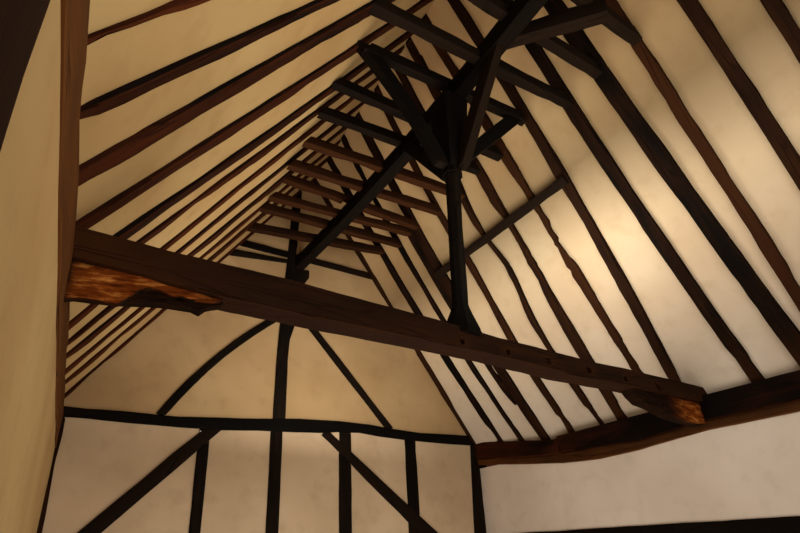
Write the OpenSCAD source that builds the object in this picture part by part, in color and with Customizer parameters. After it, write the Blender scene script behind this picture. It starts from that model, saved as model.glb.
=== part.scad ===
// Two bays of a timber-framed hall with an open crown post roof.
// Millimetres. X runs across the hall, Y away to the closed end wall, Z up.
// Heights inside the roof are given above the top of the wall plates.

/* [Node to draw] */
// Which sub-part to draw, or all of them.

/* [Walls] */
// Height of the top of the wall plates above the ground.
plate_top = 2960; // [2500:10:3400]
// Clear width between the faces of the right plate and its mirror line.
clear_width = 5900; // [5300:20:6500]
// From the middle of the open truss to the inner face of the end wall.
bay = 3500; // [3300:10:3800]
// Thickness of the framed side walls.
wall_thickness = 150; // [130:5:200]
// How far the right wall plaster stands back behind the right plate.
plaster_back = 50; // [30:5:80]
// How far the face of the left plate stands inside the mirror line.
plate_in = 107; // [60:1:140]
// How far the left wall plaster stands back behind the left plate.
left_back = 12; // [5:1:40]
// Depth of the left plate below its top.
left_plate_height = 367; // [300:5:400]
// How far the top of the left plate stands above the plate height.
left_plate_rise = 22; // [0:2:40]
// Depth of the ledge under the right plate.
ledge_height = 100; // [60:5:140]
// How far the ledge stands back behind the right plate.
ledge_back = 24; // [10:2:40]
// Thickness of the lining on the inside of the left wall.
lining = 50; // [30:5:70]
// Thickness of the outer panels of the left wall.
panel = 82; // [60:2:120]
// Height of the sill beams.
sill_height = 200; // [150:5:240]
// Depth of the timbers of the end wall.
end_depth = 140; // [120:5:180]

/* [Roof] */
// Rise of the rafters for each unit of run.
slope = 1.433; // [1.3:0.01:1.5]
// Depth of the rafters square to the slope.
rafter_depth = 125; // [105:5:150]
// Width of a common rafter.
rafter_width = 100; // [80:2:130]
// How far the ceiling plaster stands back from the rafter faces on the right slope.
ceiling_back = 48; // [20:2:80]
// The same on the left slope.
left_ceiling_back = 30; // [20:2:80]
// Thickness of the roof covering.
cover_thickness = 70; // [50:5:100]
// Overhang of the covering beyond the wall at the eaves.
eaves = 190; // [120:10:260]
// Overhang of the covering beyond the end rafters.
verge = 90; // [50:5:150]
// Underside of the collars above the plate top.
collar_under = 2773; // [2600:10:2900]
// Height of a collar.
collar_height = 112; // [90:2:140]
// Thickness of a collar.
collar_width = 92; // [70:2:120]

/* [Open truss] */
// Underside of the tie beam above the plate top.
tie_under = -62; // [-90:2:0]
// Height of the tie beam at its left end.
tie_height = 228; // [200:2:270]
// How much lower the top of the tie beam is at its right end.
tie_fall = 78; // [0:2:100]
// Width of the tie beam.
tie_width = 200; // [160:5:260]
// Place of the foot of the crown post across the hall.
post_x = -204; // [-300:2:60]
// Sideways run of the crown post from its foot to the collar purlin.
post_lean = 109; // [0:1:160]
// Width of the shaft of the crown post.
shaft = 126; // [110:2:170]
// Width of the flared foot of the crown post.
foot = 290; // [220:5:340]
// Height of the moulded cap above the plate top.
cap_at = 1650; // [1500:10:1800]
// Width of the head of the crown post above the cap.
head = 206; // [170:2:240]
// Width of the collar purlin.
purlin_width = 136; // [110:2:180]
// Height of the collar purlin.
purlin_height = 195; // [150:5:230]
// Place of the collar purlin across the hall at the open truss.
purlin_x = -50; // [-120:2:60]
// How far the collar purlin bends to the left on its way to the end wall.
purlin_bend = 130; // [0:5:180]
// Reach of the near purlin brace along the hall.
near_reach = 690; // [560:10:800]
// Reach of the far purlin braces along the hall.
far_reach = 940; // [800:10:1040]
// Thickness of the curved braces.
brace_thick = 84; // [60:2:110]

/* [Hidden] */
half = clear_width / 2;
soffit = half + 46;
face = half + plaster_back;
out = face + wall_thickness;
left_face = half - plate_in;
left_in = left_face + left_back;
left_low = left_plate_rise - left_plate_height;
sec = sqrt(1 + slope * slope);
pitch = atan(slope);
inner = bay;
outer = bay + end_depth;
near = -outer;
skin_a = rafter_depth * sec / slope;
ridge_z = soffit * slope;
tie_top = tie_under + tie_height;
seat = tie_top - 0.62 * tie_fall;
purlin_under = collar_under - purlin_height;
post_rise = purlin_under - seat;
lean = atan(post_lean / post_rise);
rail_top = -1240;
rail_low = -1420;
low_end = sill_height - plate_top;
rafter_low = -90;

// Rafters, a row each: place at the plate, place at the ridge, bow, extra width.
left_far = [[2990, 2950, 20, 0], [2580, 2540, 30, -30], [2150, 2055, 40, 0], [1820, 1648, -40, -24],
  [1452, 1170, -60, -24], [846, 800, 10, -20], [502, 500, 30, 10]];
right_far = [[2930, 2930, 95, 0], [2539, 2447, 141, -37], [2134, 1999, 119, 36], [1680, 1473, 112, -14],
  [1204, 1105, 65, -20], [910, 690, 45, 10], [440, 380, 4, 4]];
left_truss = [12, -10, 42, 8];
right_truss = [122, -40, -66, 0];
left_near = [[-452, -432, -10, 26], [-884, -795, 40, -30], [-1228, -1236, 0, -56], [-1680, -1672, 20, 0],
  [-2120, -2128, -18, 6], [-2570, -2562, 24, -8], [-3020, -3012, 12, 0]];
right_near = [[-598, -505, 62, 14], [-1050, -822, 35, 46], [-1245, -1243, 0, 0], [-1690, -1672, -16, 4],
  [-2112, -2128, 22, 0], [-2580, -2562, -20, -6], [-3010, -3012, 10, 2]];
left_gate = [-bay, -bay, 0, 12];
right_gate = [-bay, -bay, 0, 12];

// Collars, a row each: lift of the middle and rise for each unit of run.
far_collars = [[-10, 0.12], [-33, 0.05], [-50, 0.03], [-64, 0.018], [-64, 0.018], [-64, 0.018], [-39, 0.06]];
truss_collar = [69, 0.072];
near_collars = [[-162, 0.085], [-60, 0.03], [-50, 0.01], [-20, 0], [-30, 0.01], [-24, 0], [-12, 0]];
gate_collar = [0, 0];
end_collar = [-58, 0.012];

// Place of a rafter along the hall at a height above the plates.
function place(r, z) = r[0] + (r[1] - r[0]) * z / ridge_z + r[2] * 4 * z / ridge_z * (1 - z / ridge_z);

// Place of the collar purlin across the hall.
function purlin_at(y) = y > 0 ? purlin_x - purlin_bend * y / bay * y / bay : purlin_x + 0.03 * y;

// Place of the leaning crown post across the hall at a height above the plates.
function post_at(x, z) = x + post_lean * (z - seat) / post_rise;

// An outline drawn in X and Z at plate height, given thickness from y0 to y1.
module upright(y0, y1) {
  translate([0, y1, plate_top])
    rotate([90, 0, 0])
      linear_extrude(y1 - y0)
        children();
}

// An outline drawn in Y and Z at plate height, given thickness from x0 to x1.
module along(x0, x1) {
  translate([x0, 0, plate_top])
    rotate([90, 0, 90])
      linear_extrude(x1 - x0)
        children();
}

// A box from two corners, heights counted from the ground.
module box(a, b) {
  translate(a)
    cube([b[0] - a[0], b[1] - a[1], b[2] - a[2]]);
}

// A timber outline between two points with a bow in its middle and a width at each end.
function bow_at(p, q, bow, t) = [p[0] + (q[0] - p[0]) * t - (q[1] - p[1]) / norm(q - p) * bow * 4 * t * (1 - t),
  p[1] + (q[1] - p[1]) * t + (q[0] - p[0]) / norm(q - p) * bow * 4 * t * (1 - t)];
function side_of(p, q, s) = [-(q[1] - p[1]) / norm(q - p) * s, (q[0] - p[0]) / norm(q - p) * s];
module timber(p, q, w0, w1, bow = 0, n = 8) {
  polygon(concat(
    [for (i = [0:n]) bow_at(p, q, bow, i / n) + side_of(p, q, (w0 + (w1 - w0) * i / n) / 2)],
    [for (i = [n:-1:0]) bow_at(p, q, bow, i / n) - side_of(p, q, (w0 + (w1 - w0) * i / n) / 2)]));
}

// Section of one roof slope between two depths behind the rafter faces.
module slope_band(d0, d1, low, side) {
  a = d0 * sec / slope;
  b = d1 * sec / slope;
  polygon([[side * (soffit + a - low / slope), low], [side * (soffit + b - low / slope), low],
    [0, (soffit + b) * slope], [0, (soffit + a) * slope]]);
}

// An outline drawn on the inner face of one slope, run up the slope first, given depth outwards.
module slope_slab(d) {
  translate([soffit, 0, plate_top])
    rotate([0, pitch, 0])
      rotate([0, 0, 180])
        linear_extrude(d)
          children();
}

// Outline of one rafter from its row, run past both ends of the slope.
rafter_parts = 7;
function run(i) = 1.12 * i / rafter_parts - 0.05;
module rafter_line2d(r) {
  w = rafter_width + r[3];
  polygon(concat(
    [for (i = [0:rafter_parts]) [run(i) * soffit * sec, -place(r, run(i) * ridge_z) - w / 2]],
    [for (i = [rafter_parts:-1:0]) [run(i) * soffit * sec, w / 2 - place(r, run(i) * ridge_z)]]));
}

module rafter_slabs(side, rows, depth) {
  for (r = rows)
    if (side > 0)
      slope_slab(depth)
        rafter_line2d(r);
    else
      mirror([1, 0, 0])
        slope_slab(depth)
          rafter_line2d(r);
}

// Rafters of one side from their rows, cut at the ridge and at the outside of the wall.
module rafters(side, rows) {
  intersection() {
    rafter_slabs(side, rows, rafter_depth);
    box([side > 0 ? 0 : -out, near, plate_top + rafter_low], [side > 0 ? out : 0, outer, plate_top + 5000]);
  }
}

module end_rafter(side) {
  upright(inner - 40, outer)
    intersection() {
      slope_band(0, rafter_depth, 0, side);
      translate([-out, -1000])
        square([2 * out, 6000]);
    }
}

// A timber that doubles the third rafter on its far side: height and place of its far edge,
// then how far its near edge stands off that rafter.
double_far = [[452, 2292], [674, 2338], [937, 2362], [1500, 2385], [2226, 2382], [2534, 2366], [2960, 2340]];
double_gap = [[2960, 0], [1620, 0], [1300, 44], [900, 50], [780, 8], [740, 0], [452, 0]];
double_at = 2;
function rafter_side(z) = place(right_far[double_at], z) + (rafter_width + right_far[double_at][3]) / 2;
module doubling2d() {
  difference() {
    polygon(concat(
      [for (p = double_far) [p[0] / slope * sec, -p[1]]],
      [for (p = double_gap) [p[0] / slope * sec, -rafter_side(p[0]) - (p[1] > 0 ? p[1] : -40)]]));
    rafter_line2d(right_far[double_at]);
  }
}

// The rafters of one side, made too deep, to cut their places out of the plaster.
module rafter_places(side) {
  rafter_slabs(side, side > 0 ? concat(right_far, right_near) : concat(left_far, left_near), rafter_depth + 30);
  rafter_slabs(side, side > 0 ? [right_truss, right_gate] : [left_truss, left_gate], rafter_depth + 30);
  if (side > 0)
    slope_slab(rafter_depth + 30)
      doubling2d();
  upright(inner - 40, outer + 30)
    slope_band(-30, rafter_depth + 30, -300, side);
}

// Collar outline from its row, cut to the faces of the rafters.
module collar2d(c) {
  z = collar_under + c[0];
  intersection() {
    polygon([[-1500, z - 1500 * c[1]], [1500, z + 1500 * c[1]], [1500, z + 1500 * c[1] + collar_height],
      [-1500, z - 1500 * c[1] + collar_height]]);
    inside2d(1800);
  }
}

// Outline of the inside of the roof below the rafter faces.
module inside2d(low) {
  polygon([[-(soffit - low / slope), low], [soffit - low / slope, low], [0, soffit * slope]]);
}

// Sills
module left_sill() {
  color("#4a3223")
    box([-out, near, 0], [-left_in + 40, outer, sill_height]);
}

module right_sill() {
  color("#4a3223")
    box([face - 40, near, 0], [out, outer, sill_height]);
}

module end_sill() {
  color("#4a3223")
    box([-left_in + 40, inner, 0], [face - 40, outer, sill_height]);
}

// Corner posts of the end wall
left_post_in = left_face - 30;
right_post_in = half - 93;
module left_corner_post() {
  color("#3b281c")
    difference() {
      upright(inner, outer)
        intersection() {
          polygon([[-out, low_end], [-left_post_in, low_end], [-left_post_in, left_plate_rise],
            [-left_face, left_plate_rise], [-left_face, left_low], [-out, left_low]]);
          low_cover2d();
        }
      left_plate_solid();
      end_tie_beam();
    }
}

module right_post2d() {
  polygon([[right_post_in - 175, low_end], [out, low_end], [out, 200], [right_post_in, 200], [right_post_in, 100]]);
}

module right_corner_post() {
  color("#3b281c")
    difference() {
      upright(inner, outer)
        intersection() {
          right_post2d();
          low_cover2d();
        }
      right_far_solid();
      right_ledge_solid();
      end_tie_beam();
      end_rafter(1);
      along(half, out + 1)
        translate([inner - 1, 0])
          square([end_depth + 2, 300]);
    }
}

// Space between the sill and the plate in each side wall, as an outline in Y and Z.
module left_zone2d(y0) {
  translate([y0, low_end])
    square([inner - y0, left_low - low_end]);
}

module right_zone2d(y0) {
  difference() {
    translate([y0, low_end])
      square([inner - y0, plate_top]);
    far_plate2d();
    near_plate2d();
    ledge2d();
    translate([y0 - 1, -250])
      square([2 * outer, plate_top]);
  }
}

// Studs on the outer face of the side walls, wider at the truss.
stud_step = bay / 4;
module side_frame2d() {
  for (i = [-3:3])
    translate([i * stud_step - (i == 0 ? 100 : 70), low_end])
      square([i == 0 ? 200 : 140, plate_top]);
}

module near_post2d() {
  translate([near, low_end])
    square([end_depth, plate_top]);
}

module left_wall_timbers() {
  color("#3b281c") {
    along(-out, -left_in - lining)
      intersection() {
        side_frame2d();
        left_zone2d(near);
      }
    along(-out, -left_in)
      intersection() {
        near_post2d();
        left_zone2d(near);
      }
  }
}

module right_wall_timbers() {
  color("#3b281c") {
    along(out - 80, out)
      intersection() {
        side_frame2d();
        right_zone2d(near);
      }
    along(face, out)
      intersection() {
        near_post2d();
        right_zone2d(near);
      }
  }
}

module left_wall_plaster() {
  color("#e9dcc3")
    difference() {
      union() {
        along(-out + 18, -out + 18 + panel)
          left_zone2d(near + end_depth);
        along(-left_in - lining, -left_in)
          left_zone2d(near + end_depth);
      }
      left_wall_timbers();
      left_wall_post();
    }
}

module right_wall_plaster() {
  color("#e9dcc3")
    difference() {
      along(face, out - 18)
        right_zone2d(near + end_depth);
      right_wall_timbers();
      right_wall_rail();
    }
}

// Post that shows on the inside of the left wall
module left_wall_post() {
  color("#3b281c")
    box([-left_in - lining - 30, -2200, sill_height], [-left_face, -1955, plate_top + left_low]);
}

// Rail that shows on the inside of the right wall
module right_wall_rail() {
  color("#3b281c")
    box([face - 26, near + end_depth, plate_top + rail_low], [face + 44, inner, plate_top + rail_top]);
}

// End wall below the tie, a row for each stud: middle and width
studs = [[-1340, 130], [-425, 160], [578, 188], [1680, 194]];
module end_studs2d() {
  for (s = studs)
    translate([s[0] - s[1] / 2, low_end])
      square([s[1], plate_top + 400]);
}

module end_rail2d() {
  intersection() {
    translate([-out, rail_low])
      square([2 * out, rail_top - rail_low]);
    end_low_zone2d();
  }
}

module lower_braces2d() {
  timber([250, 110], [2080, -1330], 120, 212);
  timber([-1190, 70], [-2300, -1090], 160, 160);
}

// Underside of the end tie from left to right, and its top from right to left
tie_under_line = [[-out, -20], [-1612, -8], [-1138, 8], [-630, 46], [-248, 64], [186, 90], [491, 128],
  [811, 150], [1142, 122], [1615, 111], [2233, 116], [out, 136]];
tie_upper_line = [[out, 296], [2650, 279], [1862, 244], [1321, 265], [1012, 282], [491, 286], [-112, 256],
  [-532, 213], [-926, 178], [-1648, 122], [-out, 112]];
module end_tie2d() {
  polygon(concat(tie_under_line, tie_upper_line));
}

module above_tie2d() {
  polygon(concat(tie_upper_line, [[-out, ridge_z], [out, ridge_z]]));
}

module below_tie2d() {
  polygon(concat(tie_under_line, [[out, -plate_top], [-out, -plate_top]]));
}

module end_wall_mid_rail() {
  color("#3b281c")
    upright(inner, outer)
      end_rail2d();
}

module end_wall_studs() {
  color("#3b281c")
    upright(inner, outer)
      difference() {
        intersection() {
          end_studs2d();
          end_low_zone2d();
        }
        end_rail2d();
        lower_braces2d();
      }
}

// Everything between the corner posts, above the sill and below the tie
module end_low_zone2d() {
  difference() {
    intersection() {
      translate([-left_post_in, low_end])
        square([left_post_in + right_post_in, plate_top]);
      below_tie2d();
    }
    right_post2d();
  }
}

module end_wall_lower_braces() {
  color("#3b281c")
    upright(inner, outer)
      intersection() {
        lower_braces2d();
        end_low_zone2d();
        translate([-out, rail_top])
          square([2 * out, plate_top]);
      }
}

module end_wall_plaster() {
  color("#e9dcc3")
    upright(inner + 24, outer - 18)
      difference() {
        end_low_zone2d();
        end_studs2d();
        end_rail2d();
        intersection() {
          lower_braces2d();
          translate([-out, rail_top])
            square([2 * out, plate_top]);
        }
      }
}

module end_tie_beam() {
  color("#3b281c")
    difference() {
      upright(inner, outer)
        intersection() {
          end_tie2d();
          under_cover2d();
        }
      left_plate_solid();
      right_far_solid();
    }
}

// Gable above the tie
module end_post2d() {
  intersection() {
    polygon([[-490, 150], [-320, 150], [-317, 1068], [-299, 1374], [-222, 1672], [-180, 2200], [-30, purlin_under - 120],
      [-30, purlin_under], [-236, purlin_under], [-236, 3139], [-194, 3937], [-180, 4200], [-329, 4200],
      [-366, 3096], [-398, 2487], [-461, 1496], [-476, 1041]]);
    inside2d(0);
  }
}

module down_braces2d() {
  timber([-430, 1740], [-1880, 100], 92, 104, -100);
  timber([-170, 1850], [1335, 240], 112, 108);
}

module end_crown_post() {
  color("#3b281c")
    difference() {
      upright(inner, outer)
        intersection() {
          end_post2d();
          above_tie2d();
        }
      collar_purlin();
    }
}

module end_down_braces() {
  color("#3b281c")
    upright(inner, outer)
      difference() {
        intersection() {
          down_braces2d();
          above_tie2d();
        }
        end_post2d();
      }
}

// Collar of the gable, and the short rail below it on the left
module gable_bars2d() {
  difference() {
    union() {
      collar2d(end_collar);
      intersection() {
        polygon([[-1500, 2462], [-409, 2618], [-200, 2640], [-200, 2700], [-409, 2674], [-1500, 2595]]);
        inside2d(1800);
      }
    }
    end_post2d();
  }
}

module gable_collar_and_rail() {
  color("#3b281c")
    difference() {
      upright(inner, outer)
        gable_bars2d();
      collar_purlin();
    }
}

module gable_plaster() {
  color("#e9dcc3")
    difference() {
      upright(inner + 24, outer - 18)
        difference() {
          intersection() {
            inside2d(0);
            above_tie2d();
          }
          end_post2d();
          down_braces2d();
          gable_bars2d();
        }
      collar_purlin();
      left_plate_solid();
      right_far_solid();
    }
}

// Plates
// Everything below the underside of the roof covering
module under_cover2d() {
  a = soffit + skin_a;
  polygon([[-out, -400], [out, -400], [out, (a - out) * slope], [0, a * slope], [-out, (a - out) * slope]]);
}

// The same, down to the sill
module low_cover2d() {
  under_cover2d();
  translate([-out, low_end])
    square([2 * out, -200 - low_end]);
}

module left_plate_solid() {
  intersection() {
    box([-out, near, plate_top + left_low], [-left_face, outer, plate_top + left_plate_rise]);
    upright(near, outer)
      under_cover2d();
  }
}

// The far length of the right plate climbs towards the end wall.
splice = 1860;
module far_plate2d() {
  polygon([[splice, -270], [2195, -254], [3373, -105], [outer, -70], [outer, 210], [3332, 158], [2526, 20],
    [2015, -64], [splice, -64]]);
}

module near_plate2d() {
  polygon([[near, -262], [-1, -254], [698, -316], [1230, -291], [splice, -270], [splice, -41], [1173, -38],
    [505, -33], [-67, 0], [near, 0]]);
}

module ledge2d() {
  difference() {
    polygon([[near, -250 - ledge_height], [-30, -250 - ledge_height], [273, -275 - ledge_height],
      [756, -320 - ledge_height], [1300, -336 - ledge_height], [splice, -300 - ledge_height],
      [2633, -194 - ledge_height], [3443, -86 - ledge_height], [outer, -60 - ledge_height], [outer, 0], [near, 0]]);
    near_plate2d();
    far_plate2d();
    translate([near - 1, -200])
      square([splice - near + 2, 400]);
    polygon([[splice, -262], [2195, -246], [3373, -97], [outer + 1, -62], [outer + 1, 100], [splice, 100]]);
  }
}

module right_far_solid() {
  intersection() {
    along(half, out)
      far_plate2d();
    upright(near, outer)
      under_cover2d();
  }
}

module right_near_solid() {
  intersection() {
    along(half - 14, out)
      near_plate2d();
    upright(near, outer)
      under_cover2d();
  }
}

module right_ledge_solid() {
  along(half + ledge_back, out)
    ledge2d();
}

module left_wall_plate() {
  color("#3b281c")
    left_plate_solid();
}

module right_plate_far_length() {
  color("#3b281c")
    right_far_solid();
}

module right_plate_near_length() {
  color("#3b281c")
    right_near_solid();
}

module right_plate_ledge() {
  color("#5a3d28")
    right_ledge_solid();
}

// Open truss
hole_x = [-300, 166, 630, 1143, 1656, 2186];
module tie2d() {
  polygon([[-out, tie_under + 50], [-2534, tie_under + 38], [-2207, tie_under + 15], [-1976, tie_under + 4],
    [-1462, tie_under], [0, tie_under + 8], [489, tie_under + 2], [847, tie_under - 18], [1528, tie_under - 8],
    [out, tie_under - 8],
    [out, tie_top - tie_fall], [2572, tie_top - 0.84 * tie_fall], [1903, tie_top - 0.9 * tie_fall],
    [1309, tie_top - tie_fall], [603, tie_top - 0.94 * tie_fall], [98, tie_top - 0.8 * tie_fall],
    [-493, tie_top - 0.45 * tie_fall], [-845, tie_top - 0.32 * tie_fall], [-1465, tie_top - 0.2 * tie_fall],
    [-2227, tie_top - 0.15 * tie_fall], [-out, tie_top]]);
}

module tie_solid(y) {
  difference() {
    upright(y - tie_width / 2, y + tie_width / 2)
      intersection() {
        tie2d();
        under_cover2d();
      }
    left_plate_solid();
    right_near_solid();
  }
}

module tie_beam() {
  color("#3b281c")
    difference() {
      tie_solid(0);
      for (x = hole_x)
        box([x - 24, -tie_width / 2 - 1, plate_top - 28], [x + 24, -tie_width / 2 + 34, plate_top + 20]);
    }
}

module near_tie_beam() {
  color("#3b281c")
    tie_solid(-bay);
}

// Broken braces left under the tie, drawn from the face of each plate. The left one is torn:
// its near half ends higher than its far half.
stub_thick = 124;
tear = 14;
module left_brace_stub() {
  color("#8a5a30")
    difference() {
      union() {
        upright(-stub_thick / 2, -tear)
          translate([-left_face, 0])
            polygon([[0, 0], [0, -240], [59, -219], [158, -212], [242, -210], [292, -156], [334, -103], [381, -79],
              [459, -84], [595, -101], [700, -86], [772, tie_under - 6], [800, 0]]);
        upright(-tear, stub_thick / 2)
          translate([-left_face, 0])
            polygon([[0, 0], [0, -200], [209, -179], [282, -168], [407, -145], [486, -134], [624, -128], [671, -144],
              [707, -103], [790, tie_under - 4], [800, 0]]);
      }
      tie_solid(0);
      upright(-stub_thick, stub_thick)
        translate([-left_face - 1, tie_under + 60])
          square([2000, 200]);
    }
}

module right_brace_stub() {
  color("#8a5a30")
    difference() {
      upright(-stub_thick / 2, stub_thick / 2)
        translate([half - 14, 0])
          polygon([[0, 0], [0, -300], [-262, -300], [-517, -283], [-676, -259], [-792, -222], [-898, -203],
            [-1018, -188], [-1106, -128], [-1150, tie_under - 14], [-1160, 0]]);
      tie_solid(0);
      upright(-stub_thick, stub_thick)
        translate([half - 2000, tie_under + 20])
          square([2000, 200]);
    }
}

// Crown post: foot, chamfered shaft, moulded cap and flared head, on a leaning axis
module octagon(w) {
  c = w * 0.2929;
  polygon([[-w / 2, -w / 2 + c], [-w / 2 + c, -w / 2], [w / 2 - c, -w / 2], [w / 2, -w / 2 + c],
    [w / 2, w / 2 - c], [w / 2 - c, w / 2], [-w / 2 + c, w / 2], [-w / 2, w / 2 - c]]);
}

// Half width of the foot at a height above the seat
foot_rise = 240;
function foot_half(h) = shaft / 2 + (foot - shaft) / 2 * pow(1 - max(h, 0) / foot_rise, 1.1);
foot_steps = [-40, 0, 40, 80, 120, 160, 200, 240];
module foot2d() {
  polygon(concat([for (h = foot_steps) [foot_half(h), h]],
    [for (i = [7:-1:0]) [-foot_half(foot_steps[i]), foot_steps[i]]]));
}

module head2d(z0, z1) {
  polygon([[-shaft / 2 - 6, z0], [shaft / 2 + 6, z0], [head / 2 - 10, z0 + 130], [head / 2, z0 + 260],
    [head / 2 + 34, z1], [-head / 2 - 34, z1], [-head / 2, z0 + 260], [-head / 2 + 10, z0 + 130]]);
}

// The same outline seen from four sides makes an eight-sided turned shape.
module four_sided(a) {
  rotate([0, 0, a])
    translate([0, 300, 0])
      rotate([90, 0, 0])
        linear_extrude(600)
          children();
}

module post_solid(x, y) {
  difference() {
    intersection() {
      translate([x, y, plate_top + seat])
        rotate([0, lean, 0])
          union() {
            intersection() {
              four_sided(0)
                foot2d();
              four_sided(90)
                foot2d();
              four_sided(45)
                foot2d();
              four_sided(-45)
                foot2d();
            }
            translate([0, 0, foot_rise - 20])
              linear_extrude(cap_at - seat - foot_rise + 20)
                octagon(shaft);
            for (c = [[0, 30, 22], [30, 26, 52], [56, 30, 34], [86, 20, 10]])
              translate([0, 0, cap_at - seat + c[0]])
                linear_extrude(c[1])
                  octagon(shaft + c[2]);
            intersection() {
              four_sided(0)
                head2d(cap_at - seat + 106, post_rise + 100);
              four_sided(90)
                head2d(cap_at - seat + 106, post_rise + 100);
            }
          }
      box([-2000, near - 200, plate_top + seat - 60], [2000, outer, plate_top + purlin_under]);
    }
    tie_solid(y);
  }
}

module crown_post() {
  color("#33241b")
    post_solid(post_x, 0);
}

// The near crown post stands under its own place in the purlin.
gate_x = post_x + purlin_at(-bay) - purlin_at(0);
module near_crown_post() {
  color("#33241b")
    post_solid(gate_x, -bay);
}

// Braces from the crown post out to the collar whose row is c
module cross2d(x, c) {
  z = collar_under + c[0];
  difference() {
    union() {
      timber([post_at(x, cap_at + 150) - 108, cap_at + 150], [x - 871, collar_under + 27], 116, 128, -34);
      timber([post_at(x, cap_at + 160) + 10, cap_at + 160], [x + 1264, collar_under + 107], 120, 150, 60);
      timber([post_at(x, cap_at + 160) + 10, cap_at + 160], [x + 1300, collar_under + 287], 120, 150, 30);
    }
    polygon([[-2500, z - 2500 * c[1]], [2500, z + 2500 * c[1]], [2500, 4500], [-2500, 4500]]);
    translate([post_at(x, cap_at + 150) - 150, 0])
      square([300, cap_at + 110]);
  }
}

module cross_solid(x, y, c) {
  difference() {
    upright(y - brace_thick / 2, y + brace_thick / 2)
      intersection() {
        cross2d(x, c);
        inside2d(0);
      }
    post_solid(x, y);
    collar_purlin();
  }
}

module cross_braces() {
  color("#33241b")
    cross_solid(post_x, 0, truss_collar);
}

// Braces from the crown post along to the collar purlin, near if dir is -1
module purlin_brace2d(dir, y) {
  reach = dir > 0 ? far_reach : near_reach;
  intersection() {
    timber([y + dir * 50, cap_at + (dir > 0 ? 130 : 100)], [y + dir * reach, purlin_under + 72],
      dir > 0 ? 116 : 150, 124, dir > 0 ? -60 : 0);
    translate([dir > 0 ? y + brace_thick / 2 : y - 1200 - brace_thick / 2, cap_at + 100])
      square([1200, purlin_under - cap_at - 100]);
  }
}

module purlin_brace_solid(dir, x, y) {
  m = (post_at(x, purlin_under - 378) + purlin_at(y)) / 2;
  difference() {
    along(m - brace_thick / 2, m + brace_thick / 2)
      purlin_brace2d(dir, y);
    post_solid(x, y);
  }
}

module purlin_braces() {
  color("#33241b") {
    purlin_brace_solid(1, post_x, 0);
    purlin_brace_solid(-1, post_x, 0);
  }
}

module near_braces() {
  color("#33241b") {
    cross_solid(gate_x, -bay, gate_collar);
    purlin_brace_solid(1, gate_x, -bay);
  }
}

// Purlins
purlin_steps = [near, -bay, 0, 700, 1200, 1700, 2200, 2700, 3100, outer];
module collar_purlin() {
  color("#33241b")
    translate([0, 0, plate_top + purlin_under])
      linear_extrude(purlin_height)
        polygon(concat([for (y = purlin_steps) [purlin_at(y) - purlin_width / 2, y]],
          [for (i = [9:-1:0]) [purlin_at(purlin_steps[i]) + purlin_width / 2, purlin_steps[i]]]));
}

// Strut lying from the collar purlin across and under two collars of the near bay
strut_end = place(right_near[2], collar_under) - collar_width / 2 - 40;
module collar_strut() {
  color("#33241b")
    difference() {
      translate([0, 0, plate_top + collar_under - 185])
        linear_extrude(150)
          timber([purlin_x, -720], [520, strut_end], 100, 120);
      collar_purlin();
      collars_near_bay();
    }
}

// Side purlin under the rafters of the right slope
side_z = 2200;
side_size = 90;
module side_purlin() {
  d = 66 / sec;
  color("#33241b")
    upright(place(right_truss, side_z) - rafter_width / 2, place(right_far[2], side_z) + rafter_width / 2)
      polygon([[soffit - side_z / slope, side_z], [soffit - (side_z + side_size) / slope, side_z + side_size],
        [soffit - (side_z + side_size) / slope - d * slope, side_z + side_size - d],
        [soffit - side_z / slope - d * slope, side_z - d]]);
}

// Rafters and collars
module left_rafters_far_bay() {
  color("#3f2b1e")
    difference() {
      union() {
        rafters(-1, left_far);
        rafters(-1, [left_truss]);
        end_rafter(-1);
      }
      left_plate_solid();
      end_tie_beam();
      tie_solid(0);
    }
}

module right_rafters_far_bay() {
  color("#3f2b1e")
    difference() {
      union() {
        rafters(1, right_far);
        rafters(1, [right_truss]);
        end_rafter(1);
      }
      right_far_solid();
      right_near_solid();
      end_tie_beam();
      tie_solid(0);
    }
}

module doubling_rafter() {
  color("#3f2b1e")
    slope_slab(rafter_depth)
      doubling2d();
}

module left_rafters_near_bay() {
  color("#3f2b1e")
    difference() {
      union() {
        rafters(-1, left_near);
        rafters(-1, [left_gate]);
      }
      left_plate_solid();
      tie_solid(-bay);
    }
}

module right_rafters_near_bay() {
  color("#3f2b1e")
    difference() {
      union() {
        rafters(1, right_near);
        rafters(1, [right_gate]);
      }
      right_near_solid();
      tie_solid(-bay);
      tie_solid(0);
    }
}

// A collar stands a little before the middle of the two rafters that it joins.
collar_ahead = 20;
module collar(l, r, c) {
  y = (place(l, collar_under) + place(r, collar_under)) / 2 - collar_ahead;
  difference() {
    upright(y - collar_width / 2, y + collar_width / 2)
      collar2d(c);
    collar_purlin();
  }
}

module collars_far_bay() {
  color("#3f2b1e") {
    for (i = [0:6])
      collar(left_far[i], right_far[i], far_collars[i]);
    collar(left_truss, right_truss, truss_collar);
  }
}

module collars_near_bay() {
  color("#3f2b1e") {
    for (i = [0:6])
      collar(left_near[i], right_near[i], near_collars[i]);
    collar(left_gate, right_gate, gate_collar);
  }
}

// Ceiling plaster between the rafters
module roof_plaster(side) {
  difference() {
    upright(-bay, inner)
      intersection() {
        slope_band(side > 0 ? ceiling_back : left_ceiling_back, rafter_depth, rafter_low, side);
        translate([-out, rafter_low])
          square([2 * out, 6000]);
      }
    rafter_places(side);
    left_plate_solid();
    tie_solid(0);
    right_far_solid();
    right_near_solid();
    tie_solid(-bay);
  }
}

module left_roof_plaster() {
  color("#efe4cf")
    roof_plaster(-1);
}

module right_roof_plaster() {
  color("#efe4cf")
    roof_plaster(1);
}

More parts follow.
